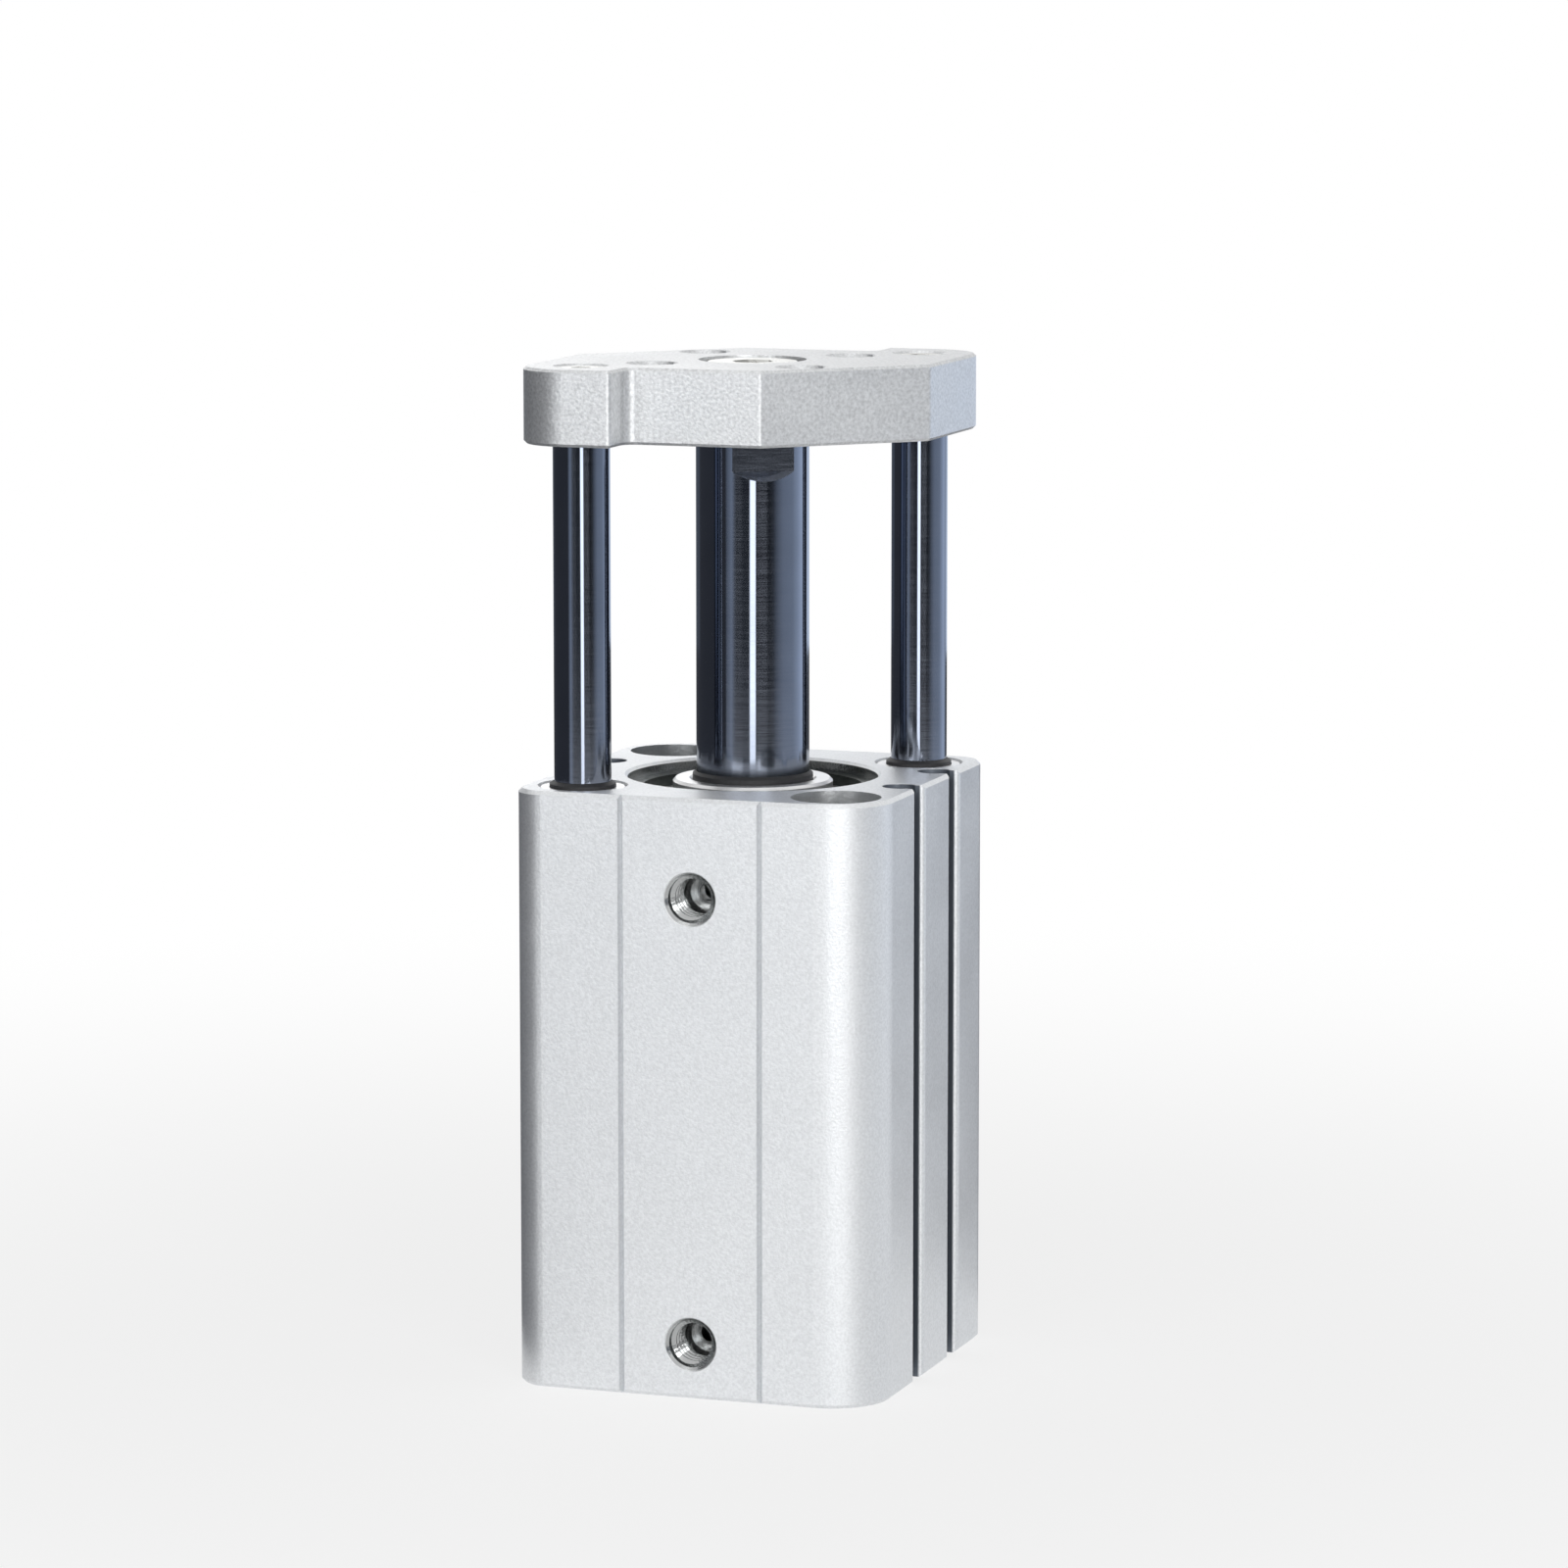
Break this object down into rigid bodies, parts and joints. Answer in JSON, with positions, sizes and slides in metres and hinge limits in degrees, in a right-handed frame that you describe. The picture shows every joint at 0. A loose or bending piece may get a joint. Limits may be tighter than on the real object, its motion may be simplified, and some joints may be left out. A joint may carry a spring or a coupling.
{
  "type": "guided pneumatic cylinder",
  "caption": "Compact double-acting air cylinder whose piston rod carries an end plate steadied by guide rods that slide in bushes in the square barrel.",
  "frame": {"origin": "centre of the barrel's head-end face", "axes": "+Z along the piston rod towards the end plate, -Y out of the port face, +X out of a sensor-slot face"},
  "size_m": [0.04, 0.04, 0.1075],
  "materials": {
    "barrel_aluminium": "satin",
    "plate_aluminium": "satin",
    "cover_aluminium": "satin",
    "piston_aluminium": "machined",
    "rod_chrome": "polished",
    "guide_chrome": "polished",
    "screw_steel": "bright zinc",
    "ring_steel": "dark phosphate",
    "bush_bronze": "sintered",
    "seal_rubber": "matte",
    "bumper_rubber": "matte",
    "magnet_black": "matte"
  },
  "bodies": {
    "cylinder": {"barrel": "barrel_aluminium", "head_plate": "cover_aluminium", "head_plate_seal": "seal_rubber", "rod_cover": "cover_aluminium", "cover_seal": "seal_rubber", "rod_bush": "bush_bronze", "rod_seal": "seal_rubber", "retaining_ring": "ring_steel", "upper_guide_bush_left": "bush_bronze", "upper_guide_bush_right": "bush_bronze", "lower_guide_bush_left": "bush_bronze", "lower_guide_bush_right": "bush_bronze", "guide_wiper_left": "seal_rubber", "guide_wiper_right": "seal_rubber", "guide_washer_left": "cover_aluminium", "guide_washer_right": "cover_aluminium"},
    "slide": {"end_plate": "plate_aluminium", "piston": "piston_aluminium", "piston_rod": "rod_chrome", "guide_rod_left": "guide_chrome", "guide_rod_right": "guide_chrome", "rod_screw": "screw_steel", "guide_rod_screws": "screw_steel", "piston_seal": "seal_rubber", "head_side_bumper": "bumper_rubber", "rod_side_bumper": "bumper_rubber", "piston_magnet": "magnet_black"}
  },
  "joints": [
    {"name": "rod_slide", "type": "slide", "parent": "cylinder", "child": "slide", "axis": [0, 0, 1], "range_m": [-0.03, 0]}
  ]
}
